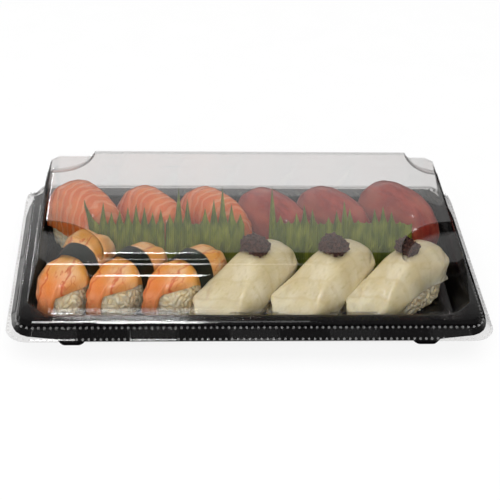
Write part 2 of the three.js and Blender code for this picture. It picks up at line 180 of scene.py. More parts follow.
def hand_in(piece, slot, *nodes):
    """Ties a finished piece to the body, the slot and the CAD nodes it stands for."""
    piece.data.materials.clear()
    piece.data.materials.append(FINISHES[slot])
    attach(piece, "root")
    if nodes:
        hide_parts(*nodes)
    print(f"{piece.name}: {len(piece.data.polygons)} faces")


# %% [markdown]
# ## Helpers for finishes
#
# A finish is a graph of shader nodes. Wrapping each socket in a small class lets the maths be
# written as plain Python, so a pattern reads like the formula that it is.


# %% Shader maths
def add_node(tree, kind, settings=None, sockets=None, output=0):
    """Adds any node: first its settings, then the values or links of its sockets."""
    node = tree.nodes.new("ShaderNode" + kind)
    for name, value in (settings or {}).items():
        if name == "stops":
            set_stops(node.color_ramp, value)
        else:
            setattr(node, name, value)
    for name, value in (sockets or {}).items():
        if isinstance(value, Wire):
            tree.links.new(value.socket, node.inputs[name])
        else:
            node.inputs[name].default_value = value
    return Wire(tree, node.outputs[output])


def set_stops(ramp, stops):
    """Gives a colour ramp these stops of place and colour."""
    while len(ramp.elements) < len(stops):
        ramp.elements.new(0.5)
    for element, (place, colour) in zip(ramp.elements, stops):
        element.position = place
        element.color = colour


class Wire:
    """A shader socket that takes part in plain arithmetic."""

    def __init__(self, tree, socket):
        self.tree = tree
        self.socket = socket

    def math(self, operation, *values):
        return add_node(self.tree, "Math", {"operation": operation}, dict(enumerate(values)))

    def __add__(self, other):
        return self.math("ADD", self, other)

    def __sub__(self, other):
        return self.math("SUBTRACT", self, other)

    def __rsub__(self, other):
        return self.math("SUBTRACT", other, self)

    def __mul__(self, other):
        return self.math("MULTIPLY", self, other)

    def __pow__(self, other):
        return self.math("POWER", self, other)

    __radd__ = __add__
    __rmul__ = __mul__

    def sine(self):
        return self.math("SINE", self)

    def absolute(self):
        return self.math("ABSOLUTE", self)

    def step(self, low, high):
        """0 below low, 1 above high and smooth between them."""
        sockets = {"Value": self, "From Min": low, "From Max": high}
        return add_node(self.tree, "MapRange", {"interpolation_type": "SMOOTHSTEP"}, sockets)


def colour(hex_text):
    """A linear colour from a screen colour such as 'd8c8a0'."""
    values = [int(hex_text[i:i + 2], 16) / 255 for i in (0, 2, 4)]
    linear = [v / 12.92 if v <= 0.04045 else ((v + 0.055) / 1.055) ** 2.4 for v in values]
    return (*linear, 1)


class Finish:
    """A material under construction."""

    def __init__(self, name):
        self.material = bpy.data.materials.new(name)
        self.material.use_nodes = True
        self.tree = self.material.node_tree
        self.shader = self.tree.nodes["Principled BSDF"]

    def node(self, kind, settings=None, sockets=None, output=0):
        return add_node(self.tree, kind, settings, sockets, output)

    def object_place(self, scale=(1, 1, 1)):
        place = self.node("TexCoord", output=3)
        return self.node("Mapping", None, {"Vector": place, "Scale": scale})

    def local_place(self, scale=(1, 1, 1)):
        """The place on a piece of food: along it, across it and up, in metres."""
        place = self.node("Attribute", {"attribute_name": "local"}, output=1)
        return self.node("Mapping", None, {"Vector": place, "Scale": scale})

    def axes(self, place):
        return [self.node("SeparateXYZ", None, {"Vector": place}, output=i) for i in range(3)]

    def noise(self, place, scale, detail=3.0, roughness=0.5):
        sockets = {"Vector": place, "Scale": scale, "Detail": detail, "Roughness": roughness}
        return self.node("TexNoise", None, sockets)

    def mix(self, factor, first, second, blend="MIX"):
        settings = {"data_type": "RGBA", "blend_type": blend}
        return self.node("Mix", settings, {0: factor, 6: first, 7: second}, output=2)

    def bump(self, height, distance, strength=1.0):
        sockets = {"Height": height, "Distance": distance, "Strength": strength}
        return self.node("Bump", None, sockets)

    def close(self, **values):
        """Sets the main shader's sockets, given in words such as base_color."""
        for word, value in values.items():
            name = word.replace("_", " ").title().replace("Ior", "IOR")
            socket = self.shader.inputs[name]
            if isinstance(value, Wire):
                self.tree.links.new(value.socket, socket)
            else:
                socket.default_value = value
        print("finish:", self.material.name)
        return self.material


FINISHES = {}
print("helpers are ready")

# %% [markdown]
# ## The camera
#
# A long lens looks down on the tray from the front and slightly from the left. The camera is
# made before anything else, so that every later piece can be judged through it.

# %% Camera
CAMERA_PLACE = Vector((-45.690, -633.672, 437.917)) * MM
CAMERA_YAW = -0.07501259
CAMERA_PITCH = -0.58007575
CAMERA_ROLL = 0.04182321
SENSOR_WIDTH = 36
FOCAL_PIXELS = 1391.59
PICTURE_WIDTH = 500


def camera_matrix():
    """The camera's place and turn from its yaw, pitch and roll."""
    level = Vector((math.cos(CAMERA_YAW), math.sin(CAMERA_YAW), 0))
    ahead = Vector((
        -math.sin(CAMERA_YAW) * math.cos(CAMERA_PITCH),
        math.cos(CAMERA_YAW) * math.cos(CAMERA_PITCH),
        math.sin(CAMERA_PITCH),
    ))
    up = level.cross(ahead)
    right = math.cos(CAMERA_ROLL) * level + math.sin(CAMERA_ROLL) * up
    up = math.cos(CAMERA_ROLL) * up - math.sin(CAMERA_ROLL) * level
    turn = Matrix((right, up, -ahead)).transposed()
    return Matrix.Translation(CAMERA_PLACE) @ turn.to_4x4()


bpy.ops.object.select_all(action="DESELECT")
bpy.ops.object.camera_add()
camera = bpy.context.object
camera.name = "camera"
camera.data.sensor_width = SENSOR_WIDTH
camera.data.lens = FOCAL_PIXELS / PICTURE_WIDTH * SENSOR_WIDTH
camera.data.clip_start = 0.05
camera.data.clip_end = 20
camera.matrix_world = camera_matrix()
bpy.context.scene.camera = camera
print(f"lens {camera.data.lens:.1f} mm")

# %% [markdown]
# ## Floor and light
#
# The tray stands on a pale table in a bright, soft studio. Clear plastic shows mostly what it
# mirrors, so the surroundings matter as much as the lamps. A bright backdrop behind the tray,
# from the horizon to a third of the way up, gives the lid's flat top its haze. All else is
# dark, which keeps the steep walls clear. A crease mirrors every direction in turn, so it
# catches even a small lamp as a thin bright line. The small strips are there for that and only
# the lid mirrors them. One more small lamp shows only in the slices of food, which makes them
# look wet. The table glows a little, so that the tray's shadow stays faint.

# %% Floor
FLOOR_SIZE = 8.0

bpy.ops.object.select_all(action="DESELECT")
bpy.ops.mesh.primitive_plane_add(size=FLOOR_SIZE)
floor = bpy.context.object
floor.name = "floor"
floor_finish = Finish("pale_table")
floor_grain = floor_finish.noise(floor_finish.object_place(), 40.0)
floor.data.materials.append(floor_finish.close(
    base_color=floor_finish.mix(floor_grain, (0.12, 0.12, 0.12, 1), (0.14, 0.14, 0.14, 1)),
    roughness=0.9,
    specular_ior_level=0.0,
    emission_color=(1, 1, 1, 1),
    emission_strength=0.86,
))
floor.visible_glossy = False

# %% Surroundings
BACKDROP_LIGHT = 0.62
BACKDROP_TOP = (0.505, 0.6)        # the sine of the height at which it fades out
BACKDROP_RIGHT = (0.12, 0.26)      # how far to the right it fades
BACKDROP_RIGHT_FADE = 0.7          # and by how much
LOW_LIGHT = 0.005
DOME_LIGHT = 0.06

world = bpy.data.worlds.new("studio")
bpy.context.scene.world = world
world.use_nodes = True
sky = world.node_tree
direction = add_node(sky, "TexCoord")
across, ahead, height = (
    add_node(sky, "SeparateXYZ", None, {"Vector": direction}, output=i) for i in range(3)
)
above = height.step(-0.05, 0.05)
backdrop = above * (1 - height.step(*BACKDROP_TOP)) * ahead.step(0.1, 0.4)
backdrop = backdrop * (1 - across.step(*BACKDROP_RIGHT) * BACKDROP_RIGHT_FADE)
strength = backdrop * BACKDROP_LIGHT + above * DOME_LIGHT + LOW_LIGHT
background = sky.nodes["Background"]
background.inputs["Color"].default_value = (1, 0.995, 0.985, 1)
sky.links.new(strength.socket, background.inputs["Strength"])

# %% Lamps
LAMP_TARGET = Vector((0, 0, 0.03))


def lamp(name, place, size, power, lights_up=True):
    """A soft lamp that looks at the tray. It either lights it up or only shows in its gloss."""
    bpy.ops.object.select_all(action="DESELECT")
    bpy.ops.object.light_add(type="AREA", location=place)
    light = bpy.context.object
    light.name = name
    light.data.shape = "RECTANGLE"
    light.data.size, light.data.size_y = size
    light.data.energy = power
    look = LAMP_TARGET - Vector(place)
    light.rotation_euler = look.to_track_quat("-Z", "Y").to_euler()
    light.visible_diffuse = lights_up
    light.visible_glossy = not lights_up
    light.visible_camera = False
    return light


lamp("overhead_box", (0, 0.1, 1.5), (2.4, 2.0), 28)
lamp("front_fill", (-0.3, -1.3, 0.7), (1.6, 1.0), 21)
gloss_lamps = [
    lamp("low_strip", (-0.185, -1.5, 0.42), (0.17, 0.3), 1.3, lights_up=False),
    lamp("low_strip_middle", (-0.04, -1.5, 0.42), (0.12, 0.3), 0.65, lights_up=False),
    lamp("low_strip_end", (0.105, -1.5, 0.42), (0.17, 0.3), 0.15, lights_up=False),
    lamp("table_strip", (-0.064, -1.6, 0.26), (0.175, 0.12), 1.0, lights_up=False),
    lamp("high_strip", (-0.1, -0.9, 1.15), (0.2, 0.4), 24, lights_up=False),
    lamp("left_strip", (-0.79, 1.26, 0.5), (0.16, 0.16), 4, lights_up=False),
]
wet_lamp = lamp("wet_light", (-0.35, -1.1, 1.0), (0.3, 0.2), 10, lights_up=False)
scene = bpy.context.scene
scene.view_settings.view_transform = "Standard"
scene.cycles.use_denoising = True
print("camera, floor and light are ready")

# %% [markdown]
# ## The black tray
#
# The tray is one black sheet, drawn over a mould under heat, so every edge of it is rounded.
# Its CAD solid has the right form with sharp edges. A merged copy of it, with flat faces
# cleaned and edges bevelled, catches light along its rim as the real sheet does. The rim's
# apron is drawn out at its own slope until it nearly fills the lid's, since the two sheets are
# formed to fit, and the flange is made wider at the back.

# %% Black plastic
TRAY_BLACK = colour("050405")

tray_finish = Finish("black_plastic")
tray_place = tray_finish.object_place()
tray_wave = tray_finish.noise(tray_place, 60.0, 2.0)
tray_scuff = tray_finish.noise(tray_place, 900.0, 4.0)
FINISHES["tray"] = tray_finish.close(
    base_color=tray_finish.mix(tray_scuff.step(0.45, 0.8), TRAY_BLACK, colour("0a090b")),
    roughness=0.18 + tray_scuff * 0.12,
    normal=tray_finish.bump(tray_wave, 0.4 * MM, 0.5),
)

# %% Rim's apron
# For the long sides and for the ends: the axis that they look along, where the apron's edge
# begins, how far it is drawn out, how steeply it falls, the place along the side up to which it
# is drawn out in full, and the length over which that fades out.
RIM_SIDES = [
    (1, 68 * MM, 2.1 * MM, 3.7 / 6.8, 90 * MM, 18 * MM),
    (0, 121 * MM, 1.6 * MM, 3.7 / 5, 48 * MM, 12 * MM),
]
# Cuts across X and across Y, in millimetres, so that the long faces can bend there.
CUTS_ACROSS = {0: (-100, -90, 90, 100), 1: (-60, -48, 48, 60)}


def draw_out(points, axis, edge, reach, slope, full, fade):
    """Moves the edge of one pair of sides outward along its own slope."""
    share = np.clip((full + fade - np.abs(points[:, 1 - axis])) / fade, 0, 1)
    amount = (np.abs(points[:, axis]) > edge) * reach * share
    points[:, axis] += np.sign(points[:, axis]) * amount
    points[:, 2] -= slope * amount


# %% Tray
FLAT_ANGLE = math.radians(0.4)

tray = copy_of("tray", "black_tray")
edit(tray, selected=True)
bpy.ops.mesh.dissolve_limited(angle_limit=FLAT_ANGLE)
for axis, places in CUTS_ACROSS.items():
    for place in places:
        bpy.ops.mesh.select_all(action="SELECT")
        cut_selected(axis, place * MM)
leave()
rim_points = points_of(tray)
for side in RIM_SIDES:
    draw_out(rim_points, *side)
set_points(tray, rim_points)
apply(
    tray, "BEVEL", width=0.3 * MM, segments=2, limit_method="ANGLE",
    angle_limit=math.radians(24), use_clamp_overlap=True,
)
widen_back(tray)
smooth(tray)
hand_in(tray, "tray", "tray")

# %% [markdown]
# ## The clear lid
#
# The lid is a vacuum-formed sheet. It is made as a maker would: closed outlines are stacked
# from the apron's edge up to the top panel and bridged, the four stacking recesses are cut
# with rounded cutters, every crease is softened, and only then does the surface get its
# thickness. The wall steps in at two shallow ledges near its top, and the flange steps up near
# its foot. Such steps stiffen a thin sheet, and each draws a thin bright line, so the ledges
# get a finer rounding of their own.

# %% Lid's measures
HALF_LENGTH = 125 * MM
HALF_DEPTH = 72.5 * MM
PANEL_Z = 54 * MM
FLANGE_Z = 21.2 * MM
STEP_FOOT = 17.6 * MM
LEDGES = [z * MM for z in (41.8, 42.7, 48.1, 48.9)]
LEDGE_CREASE = 0.12 * MM           # how wide the wall's shallow ledges are rounded
CREASE = 0.35 * MM                 # the same for every sharper crease
CREASE_ANGLE = math.radians(20)
WELD = 0.15 * MM                   # slivers that the cuts leave are closed below this
SHEET = 0.45 * MM

# Outlines from the bottom up: how far in from the apron's edge along X and Y, the height, the
# corner and how round it is (0.25 is a straight cut and 0.5 is round).
FLANGE_OUTLINES = [
    (0, 0, 13.9, 12, 0.5),
    (5, 6.8, 17.6, 8, 0.5),
    (5.2, 7, 19, 8, 0.5),
    (6.2, 8, 21.2, 8, 0.5),
]
DOME_OUTLINES = [
    (10, 14.5, 21.2, 11.3, 0.25),
    (14.8, 17.2, 41.8, 5.8, 0.25),
    (15.3, 17.55, 42.7, 5.8, 0.25),
    (16.8, 18.15, 48.1, 4.2, 0.25),
    (17.2, 18.5, 48.9, 4.2, 0.25),
    (17.6, 18.85, 51.2, 3.6, 0.25),
    (19.6, 20.8, 54, 3.6, 0.25),
]


# %% Stacked outlines
def add_outline(inset_x, inset_y, z, corner, roundness):
    """Adds a flat outline with bevelled corners to the piece in edit mode."""
    bpy.ops.mesh.select_all(action="DESELECT")
    bpy.ops.mesh.primitive_plane_add(size=2, location=(0, 0, z * MM))
    half = (HALF_LENGTH - inset_x * MM, HALF_DEPTH - inset_y * MM, 1)
    bpy.ops.transform.resize(value=half, center_override=(0, 0, z * MM))
    bpy.ops.mesh.bevel(
        offset=corner * MM, segments=8, profile=roundness, affect="VERTICES",
        clamp_overlap=False,
    )


def edges_at(*levels):
    """A test for the edges that lie flat at one of these heights."""
    return lambda edge: all(min(abs(v.co.z - z) for z in levels) < 1e-6 for v in edge.verts)


def stack(name, outlines, closed):
    """Outlines bridged one after the other. A closed block gets both caps."""
    bpy.ops.object.select_all(action="DESELECT")
    bpy.ops.mesh.primitive_plane_add(size=2)
    piece = bpy.context.object
    piece.name = name
    edit(piece, selected=True)
    bpy.ops.mesh.delete(type="VERT")
    for outline in outlines:
        add_outline(*outline)
    pick(lambda face: True)
    bpy.ops.mesh.delete(type="ONLY_FACE")
    levels = [outline[2] * MM for outline in outlines]
    for low, high in zip(levels, levels[1:]):
        pick(edges_at(low, high), "edges")
        bpy.ops.mesh.bridge_edge_loops()
    for z in (levels[0], levels[-1]) if closed else ():
        pick(edges_at(z), "edges")
        bpy.ops.mesh.edge_face_add()
    bpy.ops.mesh.select_all(action="SELECT")
    bpy.ops.mesh.normals_make_consistent(inside=False)
    leave()
    return piece


dome = stack("lid_dome", DOME_OUTLINES, closed=True)
flange = stack("lid_flange", FLANGE_OUTLINES, closed=False)
print("dome", len(dome.data.polygons), "flange", len(flange.data.polygons))

# %% [markdown]
# The recesses let trays stack. Each is a quarter of an oval around a corner of the panel: a
# squashed cylinder whose lower edge is bevelled, so that the recess gets a rounded foot when
# the cylinder is cut away.

# %% Stacking recesses
NOTCH_DROP = 4.4 * MM
PANEL_CORNER = (106.4 * MM, 52.9 * MM)
# Side along X and Y, half axes along X and Y, and the rounding of the recess's foot.
NOTCHES = [
    (-1, -1, 31, 31, 3.4),
    (1, -1, 31, 31, 3.4),
    (-1, 1, 23, 21, 4.8),
    (1, 1, 15, 21, 4.4),
]


def notch_cutter(side_x, side_y, half_x, half_y, cove):
    """A squashed cylinder with a rounded lower edge, round a corner of the panel."""
    bpy.ops.object.select_all(action="DESELECT")
    height = 20 * MM
    floor_z = PANEL_Z - NOTCH_DROP
    middle = (side_x * PANEL_CORNER[0], side_y * PANEL_CORNER[1], floor_z + height / 2)
    bpy.ops.mesh.primitive_cylinder_add(vertices=96, radius=1, depth=height, location=middle)
    cutter = bpy.context.object
    edit(cutter, selected=True)
    bpy.ops.transform.resize(value=(half_x * MM, half_y * MM, 1), center_override=middle)
    pick(lambda edge: all(v.co.z < 0 for v in edge.verts), "edges")
    bpy.ops.mesh.bevel(offset=cove * MM, segments=6, affect="EDGES", clamp_overlap=True)
    leave()
    return cutter


for notch in NOTCHES:
    cutter = notch_cutter(*notch)
    apply(dome, "BOOLEAN", object=cutter, operation="DIFFERENCE", solver="EXACT")
    bpy.data.objects.remove(cutter)
print("dome with recesses:", len(dome.data.polygons), "faces")

# %% Dome and flange in one sheet
edit(dome)
pick(lambda face: face.normal.z < -0.9 and face.calc_center_median().z < FLANGE_Z + MM)
bpy.ops.mesh.delete(type="ONLY_FACE")
leave()
lid = join([dome, flange], "clear_lid")
edit(lid)
pick(edges_at(FLANGE_Z), "edges")
bpy.ops.mesh.bridge_edge_loops()
bpy.ops.mesh.select_all(action="SELECT")
bpy.ops.mesh.remove_doubles(threshold=WELD)
bpy.ops.mesh.normals_make_consistent(inside=False)
pick(lambda edge: any(edges_at(z)(edge) for z in LEDGES), "edges")
bpy.ops.mesh.bevel(offset=LEDGE_CREASE, segments=2, affect="EDGES", clamp_overlap=False)
pick(lambda edge: len(edge.link_faces) == 2 and edge.calc_face_angle() > CREASE_ANGLE
     and not edges_at(STEP_FOOT)(edge), "edges")
bpy.ops.mesh.bevel(offset=CREASE, segments=2, affect="EDGES", clamp_overlap=False)
leave()
print("lid's sheet:", len(lid.data.polygons), "faces")

# %% [markdown]
# The apron has low pads at even steps, which stiffen it, and two rows of small dots. A pad is
# a stretch of the apron's own faces: the strip is cut across at the pad's ends, the faces
# between the cuts are inset, and what is left inside moves outward a little.

# %% Apron pads
PAD_STEP = 25.6 * MM
PAD_START = -88.6 * MM             # left end of a bare stretch; pads and bare ones take turns
PAD_MARGIN = 0.8 * MM
PAD_EDGE = 0.45 * MM
PAD_RISE = 0.34 * MM
PAD_SHEEN = 0.07                   # how milky a pad is painted, a painted sheen in place of the light that it would mirror
APRON_TILT = (0.804, 0.878)        # how much the slope looks up, on the ends and long sides
# Each side of the apron: the axis that it looks along, which way, its first stretch, the number
# of cuts, where the stretches are counted from and how far out they may reach.
APRON_SIDES = [
    (1, -1, -1, 8, PAD_START, 110 * MM),
    (1, 1, -1, 8, PAD_START, 110 * MM),
    (0, 1, 0, 4, -2 * PAD_STEP, 57 * MM),
    (0, -1, 0, 4, -2 * PAD_STEP, 57 * MM),
]


def on_apron(face, axis, side):
    """Whether a face is on the apron's slope, on the side that looks along an axis."""
    return abs(face.normal.z - APRON_TILT[axis]) < 0.02 and side * face.normal[axis] > 0.25 \
        and abs(face.normal[1 - axis]) < 0.02


def raise_pad(axis, side, low, high):
    """Turns the stretch of apron between two cuts into a low pad."""
    middle = (low + high) / 2
    found = pick(lambda face: on_apron(face, axis, side)
                 and abs(face.calc_center_median()[1 - axis] - middle) < PAD_STEP / 3)
    if found:
        bpy.ops.mesh.inset(thickness=PAD_MARGIN, depth=0)
        bpy.ops.mesh.inset(thickness=PAD_EDGE, depth=PAD_RISE)


edit(lid)
pads = []
for axis, side, first, count, start, limit in APRON_SIDES:
    for i in range(first, count):
        if abs(start + i * PAD_STEP) < limit:
            pick(lambda face: on_apron(face, axis, side))
            cut_selected(1 - axis, start + i * PAD_STEP)
    pads += [(axis, side, start + i * PAD_STEP, start + (i + 1) * PAD_STEP)
             for i in range(first, count, 2)]
for pad in pads:
    raise_pad(*pad)
leave()
# Painted sheen: the pads are made a little milky, in place of the light that they mirror.
frost = lid.data.attributes.new("frost", "FLOAT", "CORNER")
for face in lid.data.polygons:
    for axis, side, low, high in pads:
        if on_apron(face, axis, side) and low < face.center[1 - axis] < high:
            for corner in face.loop_indices:
                frost.data[corner].value = PAD_SHEEN
print("sheet with pads:", len(lid.data.polygons), "faces")

# %% [markdown]
# The dots are small domes, made once and copied round the apron at an even pitch. They and the
# sheet share one finish: a sheet of clear plastic lets most light straight through and mirrors
# the rest, more so at a glancing angle. Two attributes steer the finish and paint light and
# shade into it. One is painted shade, which darkens the curved walls of the recesses. The other
# is a painted highlight, which makes the dots, the pads and the upper edges of the front
# recesses milky, in place of the light that they would mirror.

# %% Dots along the apron
DOT_PITCH = 3 * MM
DOT_RADIUS = 0.62 * MM
DOT_ROWS = [(5.0, 6.8, 17.55, 8.0), (0.8, 1.1, 14.5, 11.4)]


def walk_outline(inset_x, inset_y, z, radius):
    """Places at an even pitch round a rectangle with round corners."""
    half_x, half_y = HALF_LENGTH - inset_x * MM, HALF_DEPTH - inset_y * MM
    corner = []
    for turn in range(0, 91, 6):
        angle = math.radians(turn)
        corner.append((half_x + radius * MM * (math.cos(angle) - 1),
                       half_y + radius * MM * (math.sin(angle) - 1)))
    loop = corner + [(-x, y) for x, y in reversed(corner)]
    loop += [(-x, -y) for x, y in loop]
    ends = loop[1:] + loop[:1]
    lengths = [math.dist(a, b) for a, b in zip(loop, ends)]
    count = round(sum(lengths) / DOT_PITCH)
    places, passed, side = [], 0.0, 0
    for i in range(count):
        target = i * sum(lengths) / count
        while passed + lengths[side] < target:
            passed += lengths[side]
            side += 1
        share = (target - passed) / lengths[side]
        places.append([loop[side][k] + share * (ends[side][k] - loop[side][k]) for k in (0, 1)]
                      + [z * MM])
    return np.array(places)


def copies(name, pattern, places, turns=None, sizes=None):
    """One mesh of many copies of a pattern, each turned, sized and moved to its place."""
    points, faces = points_of(pattern), [tuple(f.vertices) for f in pattern.data.polygons]
    all_points, all_faces = [], []
    for i, place in enumerate(places):
        moved = points * (1 if sizes is None else sizes[i])
        if turns is not None:
            moved = moved @ turns[i].T
        all_points.append(moved + place)
        all_faces += [tuple(v + i * len(points) for v in face) for face in faces]
    mesh = bpy.data.meshes.new(name)
    mesh.from_pydata(np.concatenate(all_points).tolist(), [], all_faces)
    piece = bpy.data.objects.new(name, mesh)
    bpy.context.scene.collection.objects.link(piece)
    return piece


bpy.ops.object.select_all(action="DESELECT")
bpy.ops.mesh.primitive_ico_sphere_add(subdivisions=2, radius=DOT_RADIUS)
dot = bpy.context.object
dots = copies("lid_dots", dot, np.concatenate([walk_outline(*row) for row in DOT_ROWS]))
bpy.data.objects.remove(dot)
# Painted highlight: the dots are made milky, in place of the light that they catch.
frost = dots.data.attributes.new("frost", "FLOAT", "CORNER")
frost.data.foreach_set("value", [1.0] * len(dots.data.loops))
print("dots:", len(dots.data.polygons), "faces")

# %% Clear plastic
SHEET_MIRROR = 0.045
SHEET_GLANCE = 0.955
# how much painted shade darkens the recesses' curved walls
FOLD_SHADE_AMOUNT = 0.08
# how much painted sheen lightens the dots, the pads and the recesses' upper edges
PAINTED_SHEEN_AMOUNT = 0.055
CLEAR_TINT = (0.945, 0.942, 0.94, 1)
# the colour of the painted shade on the recesses' walls
FOLD_SHADE_COLOUR = (0.05, 0.05, 0.05, 1)

clear = Finish("clear_plastic")
facing = clear.node("LayerWeight", None, {"Blend": 0.5}, output=1)
mirror = facing ** 4 * SHEET_GLANCE + SHEET_MIRROR
# painted shade on the recesses' walls, stored on the sheet
fold = clear.node("Attribute", {"attribute_name": "fold"}, output=2)
# painted sheen on the dots, pads and recesses' upper edges, stored on the sheet
frost = clear.node("Attribute", {"attribute_name": "frost"}, output=2)
gloss_wave = clear.noise(clear.object_place(), 30.0, 1.0)
clear.close(
    base_color=clear.mix(fold, (1, 1, 1, 1), FOLD_SHADE_COLOUR),
    metallic=1 - frost,
    roughness=0.045,
    normal=clear.bump(gloss_wave, 0.5 * MM, 0.35),
)
see_through = clear.node("BsdfTransparent", None, {"Color": CLEAR_TINT})
# the mirror share, raised by the painted shade on the recesses' walls and the painted sheen on
# dots, pads and lips
shown = mirror + fold * FOLD_SHADE_AMOUNT + frost * PAINTED_SHEEN_AMOUNT
surface = clear.node("MixShader", None, {0: shown, 1: see_through})
clear.tree.links.new(clear.shader.outputs[0], surface.socket.node.inputs[2])
output = clear.tree.nodes["Material Output"]
clear.tree.links.new(surface.socket, output.inputs["Surface"])
FINISHES["lid"] = clear.material

# %% Painted shade and highlights on the recesses
BACK_FOLD_SHADE = 0.35                   # how much painted shade the back recesses' walls get, beside the front ones
LIP_SHEEN = 3.5                    # how strong the painted highlight on the upper edges of the front ones is
LIP_Z = PANEL_Z - 0.5 * MM


def on_recess_wall(middle, normal):
    """Whether a face lies on the curved wall of a stacking recess."""
    steep = normal.z < 0.97 and PANEL_Z - NOTCH_DROP - MM < middle.z < PANEL_Z - 0.03 * MM
    for side_x, side_y, half_x, half_y, cove in NOTCHES:
        out_x = (middle.x - side_x * PANEL_CORNER[0]) / (half_x * MM)
        out_y = (middle.y - side_y * PANEL_CORNER[1]) / (half_y * MM)
        ring = math.hypot(out_x, out_y)
        if steep and 1 - cove / half_x - 0.03 < ring < 1.04:
            return side_x * out_x < 0.02 and side_y * out_y < 0.02
    return False


def paint_fold_shade(piece):
    """Paints shade on the corners of the recesses' curved walls, and a painted highlight on the
    upper edges of the front ones.
    """
    mesh = piece.data
    attribute = mesh.attributes.new("fold", "FLOAT", "CORNER")
    frost = mesh.attributes["frost"]
    count = 0
    for face in mesh.polygons:
        if on_recess_wall(face.center, face.normal):
            count += 1
            front = face.center.y < 0
            for corner in face.loop_indices:
                attribute.data[corner].value = 1 if front else BACK_FOLD_SHADE
                frost.data[corner].value = LIP_SHEEN * (front and face.center.z > LIP_Z)
    print("dark fold faces:", count)


# %% Finished lid
apply(lid, "SOLIDIFY", thickness=SHEET, offset=-1, use_even_offset=False)
sheet_points = points_of(lid)
sheet_points[:, 2] = np.minimum(sheet_points[:, 2], PANEL_Z)
set_points(lid, sheet_points)
join([lid, dots], "clear_lid")
widen_back(lid)
smooth(lid, 30)
apply(lid, "WEIGHTED_NORMAL", keep_sharp=True, weight=100)
paint_fold_shade(lid)
hand_in(lid, "lid", "lid")


def shown_only_by(lamps, name, pieces):
    """Lets only these pieces mirror the lamps."""
    mirrors = bpy.data.collections.new(name)
    for piece in pieces:
        mirrors.objects.link(piece)
    for light in lamps:
        light.light_linking.receiver_collection = mirrors


shown_only_by(gloss_lamps, "clear_pieces", [lid])

# %% [markdown]
# ## The food
#
# Every piece of nigiri has its own frame: along it, across it and up. Patterns such as fat
# lines and fibres follow that frame, so each piece stores it as an attribute, and all pieces
# of one kind can share one finish.

# %% Places of the nigiri
FRONT_TURNS = (25, 35, 39, 42, 44, 44)
BACK_TURN = -38
LOAF_Z = 13 * MM
SLUMPED = (4, 5, 6)
SLUMP = 0.42                       # the share by which the front end of these is lower
TURNS = dict(enumerate(FRONT_TURNS + (BACK_TURN,) * 6, start=1))


def loaf_frame(number):
    """The middle of a rice block, and the rows of its own axes: along, across and up."""
    low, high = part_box(f"rice_{number:02d}")
    middle = np.array([(low.x + high.x) / 2, (low.y + high.y) / 2, LOAF_Z])
    angle = math.radians(90 - TURNS[number])
    cos, sin = math.cos(angle), math.sin(angle)
    return middle, np.array([[cos, sin, 0], [-sin, cos, 0], [0, 0, 1]])


def store_local(piece, number):
    """Stores each point's place in its piece's own frame."""
    middle, axes = loaf_frame(number)
    local = (points_of(piece) - middle) @ axes.T
    attribute = piece.data.attributes.new("local", "FLOAT_VECTOR", "POINT")
    attribute.data.foreach_set("vector", local.ravel())
    return local


def rounded_copy(node, name, levels):
    """A merged copy of a CAD node, split once as it is and then rounded by subdivision."""
    piece = copy_of(node, name)
    edit(piece, selected=True)
    bpy.ops.mesh.tris_convert_to_quads()
    bpy.ops.mesh.subdivide(number_cuts=1)
    leave()
    apply(piece, "SUBSURF", levels=levels, render_levels=levels)
    return piece


def swell(piece, amounts):
    """Moves every point along its normal by its own amount."""
    set_points(piece, points_of(piece) + normals_of(piece) * amounts[:, None])


def rise(values, low, high):
    """0 below low, 1 above high and smooth between them."""
    share = np.clip((values - low) / (high - low), 0, 1)
    return share * share * (3 - 2 * share)


def slump(local):
    """Lowers the front of a piece that sags onto the tray's floor."""
    sagged = local.copy()
    along, up = local[:, 0], local[:, 2]
    sagged[:, 2] = np.where(up > 0, up * (1 - SLUMP * rise(-along, 3 * MM, 30 * MM)), up)
    return sagged


print("first block's middle:", loaf_frame(1)[0].round(4))

# %% [markdown]
# ### Rice
#
# Pressed sushi rice shows whole grains all over. The block under them is a rounded copy of the
# CAD block, drawn in a little. One grain is modelled from a sphere, then hundreds of copies
# are laid on the block, flat to its surface, with the same least distance between any two. The
# blocks under the white fish sink at the front, because that fish sags onto the tray's floor.

# %% Rice finish
rice = Finish("cooked_rice")
rice_place = rice.object_place()
rice_tone = rice.noise(rice_place, 260.0, 2.0)
rice_fine = rice.noise(rice_place, 1800.0, 2.0)
rice_colour = rice.mix(rice_tone.step(0.3, 0.7), colour("ffe4b2"), colour("fff2d0"))
FINISHES["rice"] = rice.close(
    base_color=rice_colour,
    roughness=0.3 + rice_tone * 0.2,
    subsurface_weight=0.4,
    subsurface_radius=(0.005, 0.004, 0.0025),
    subsurface_scale=0.8,
    normal=rice.bump(rice_fine, 0.05 * MM, 0.4),
)

# %% One grain
GRAIN_LENGTH = 5.3 * MM
GRAIN_WIDTH = 2.7 * MM

bpy.ops.object.select_all(action="DESELECT")
bpy.ops.mesh.primitive_uv_sphere_add(segments=8, ring_count=5, radius=1)
grain = bpy.context.object
edit(grain, selected=True)
bpy.ops.transform.rotate(value=math.pi / 2, orient_axis="Y", center_override=(0, 0, 0))
bpy.ops.transform.resize(
    value=(GRAIN_LENGTH / 2, GRAIN_WIDTH / 2, GRAIN_WIDTH * 0.46), center_override=(0, 0, 0),
)
leave()
print("grain:", [round(v / MM, 2) for v in grain.dimensions], "mm")


# %% Rice blocks
GRAIN_SPACING = 2.35 * MM
GRAIN_SINK = 0.4 * MM


